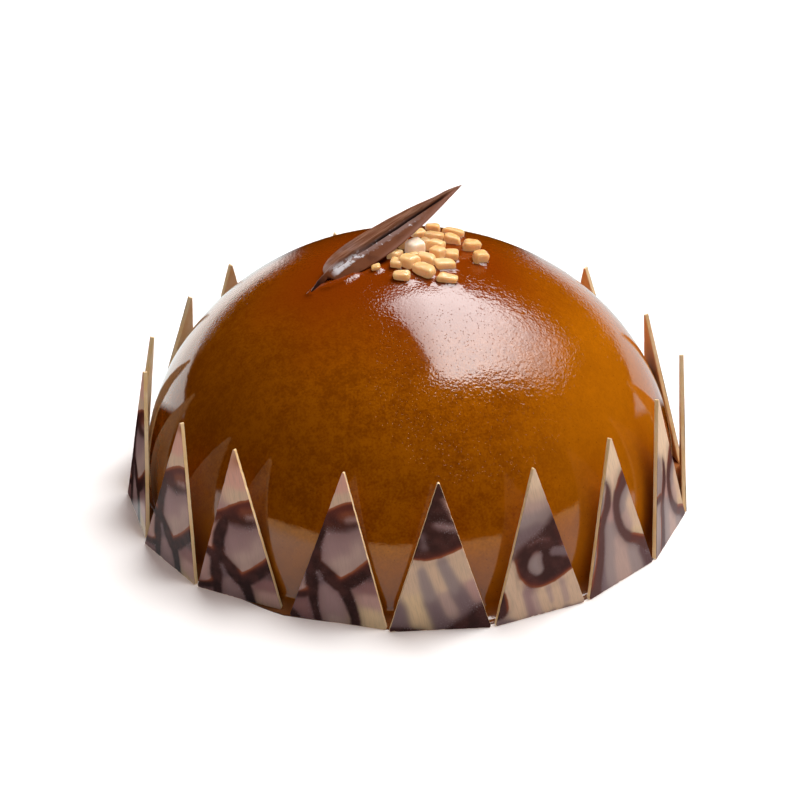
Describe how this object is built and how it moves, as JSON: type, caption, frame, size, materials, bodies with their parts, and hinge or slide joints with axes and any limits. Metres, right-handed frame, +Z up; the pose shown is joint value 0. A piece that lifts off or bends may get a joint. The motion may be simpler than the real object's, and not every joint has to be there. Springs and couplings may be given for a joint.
{
  "type": "bombe cake",
  "caption": "Dome-shaped mousse cake under shiny caramel glaze, with marbled chocolate triangles round its foot, a chocolate leaf and caramel nibs on top",
  "frame": {"origin": "middle of the cake's flat underside, on the surface it stands on", "axes": "+Z up along the dome's axis, -Y the side the picture looks at, +X to the right seen from there"},
  "size_m": [0.1811, 0.1829, 0.0998],
  "materials": {
    "caramel_glaze": "glossy translucent caramel glaze with fine specks",
    "marbled_chocolate": "ivory chocolate printed with a dark marbled pattern, semi-gloss",
    "milk_chocolate": "cast milk chocolate, semi-gloss"
  },
  "bodies": {
    "root": {"cake": "caramel_glaze", "leaf": "milk_chocolate", "plate_01": "marbled_chocolate", "plate_02": "marbled_chocolate", "plate_03": "marbled_chocolate", "plate_04": "marbled_chocolate", "plate_05": "marbled_chocolate", "plate_06": "marbled_chocolate", "plate_07": "marbled_chocolate", "plate_08": "marbled_chocolate", "plate_09": "marbled_chocolate", "plate_10": "marbled_chocolate", "plate_11": "marbled_chocolate", "plate_12": "marbled_chocolate", "plate_13": "marbled_chocolate", "plate_14": "marbled_chocolate", "plate_15": "marbled_chocolate", "plate_16": "marbled_chocolate", "plate_17": "marbled_chocolate"}
  },
  "joints": []
}
